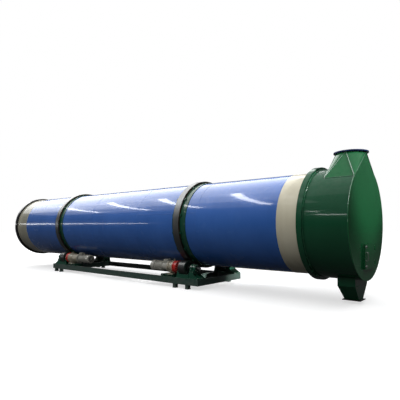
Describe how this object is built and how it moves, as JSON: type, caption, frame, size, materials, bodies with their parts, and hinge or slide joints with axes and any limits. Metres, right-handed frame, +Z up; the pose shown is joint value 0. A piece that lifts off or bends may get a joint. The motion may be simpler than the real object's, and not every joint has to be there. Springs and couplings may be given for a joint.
{
  "type": "rotary dryer",
  "caption": "Rotary drum dryer: a long blue drum on riding tyres and friction rollers, with geared motors on a skid and a green discharge hood with outlet, chute and hinged door.",
  "frame": {"origin": "on the floor under the middle of the whole machine", "axes": "+X along the drum from the feed end to the discharge hood, +Y away from the drives, +Z up"},
  "size_m": [13.303, 2.4118, 3.096],
  "materials": {
    "drum_blue": "glossy blue paint",
    "drum_cream": "cream paint",
    "end_ring_dark": "dark paint",
    "inner_steel": "mill finish, dull",
    "tyre_steel": "rolled tread, worn",
    "machine_green": "dark green paint",
    "hood_green": "glossy green paint",
    "flange_blue": "dark blue paint",
    "roller_steel": "worn tread, red primer sides",
    "reducer_red": "red paint",
    "motor_beige": "beige paint",
    "motor_grey": "light grey paint",
    "bright_steel": "machined"
  },
  "bodies": {
    "skid": {"near_beam": "machine_green", "far_beam": "machine_green", "cross_beams": "machine_green", "foot_blocks": "machine_green", "hood_shell": "hood_green", "hood_seal_ring": "hood_green", "hood_end_plate": "hood_green", "outlet_transition": "hood_green", "outlet_flange": "flange_blue", "discharge_chute": "hood_green", "chute_flange": "end_ring_dark", "door_frame": "hood_green", "feed_bearings": "machine_green", "feed_pedestals": "machine_green", "feed_reducer_ring": "reducer_red", "feed_reducer_housing": "motor_beige", "feed_motor": "motor_grey", "feed_fan_cowl": "motor_grey", "feed_drive_plinth": "machine_green", "discharge_bearings": "machine_green", "discharge_pedestals": "machine_green", "discharge_reducer_ring": "reducer_red", "discharge_reducer_housing": "motor_beige", "discharge_motor": "motor_grey", "discharge_fan_cowl": "motor_grey", "discharge_drive_plinth": "machine_green"},
    "drum": {"main_shell": "drum_blue", "feed_shell_course": "drum_cream", "discharge_shell_course": "drum_cream", "feed_end_ring": "end_ring_dark", "feed_dam_ring": "inner_steel", "lifting_flights": "inner_steel", "feed_tyre": "tyre_steel", "discharge_tyre": "tyre_steel", "feed_tyre_band": "machine_green", "discharge_tyre_band": "machine_green"},
    "feed_near_roller": {"feed_near_roller": "roller_steel", "feed_coupling": "bright_steel"},
    "feed_far_roller": {"feed_far_roller": "roller_steel"},
    "discharge_near_roller": {"discharge_near_roller": "roller_steel", "discharge_coupling": "bright_steel"},
    "discharge_far_roller": {"discharge_far_roller": "roller_steel"},
    "door": {"door_leaf": "hood_green", "door_handle": "bright_steel"}
  },
  "joints": [
    {"name": "drum_spin", "type": "hinge", "parent": "skid", "child": "drum", "pos_m": [0, 0, 1.63002], "axis": [1, 0, 0], "continuous": true},
    {"name": "feed_near_spin", "type": "hinge", "parent": "skid", "child": "feed_near_roller", "pos_m": [-3.3895, -0.77794, 0.519], "axis": [1, 0, 0], "continuous": true},
    {"name": "feed_far_spin", "type": "hinge", "parent": "skid", "child": "feed_far_roller", "pos_m": [-3.3895, 0.77794, 0.519], "axis": [1, 0, 0], "continuous": true},
    {"name": "discharge_near_spin", "type": "hinge", "parent": "skid", "child": "discharge_near_roller", "pos_m": [2.3245, -0.77794, 0.519], "axis": [1, 0, 0], "continuous": true},
    {"name": "discharge_far_spin", "type": "hinge", "parent": "skid", "child": "discharge_far_roller", "pos_m": [2.3245, 0.77794, 0.519], "axis": [1, 0, 0], "continuous": true},
    {"name": "door_swing", "type": "hinge", "parent": "skid", "child": "door", "pos_m": [6.602, 0.345, 0.97002], "axis": [0, 0, 1], "range_deg": [0, 110]}
  ],
  "couplings": [
    {"joint": "feed_near_spin", "follows": "drum_spin", "ratio": -6.1368},
    {"joint": "feed_far_spin", "follows": "drum_spin", "ratio": -6.1368},
    {"joint": "discharge_near_spin", "follows": "drum_spin", "ratio": -6.1368},
    {"joint": "discharge_far_spin", "follows": "drum_spin", "ratio": -6.1368}
  ]
}
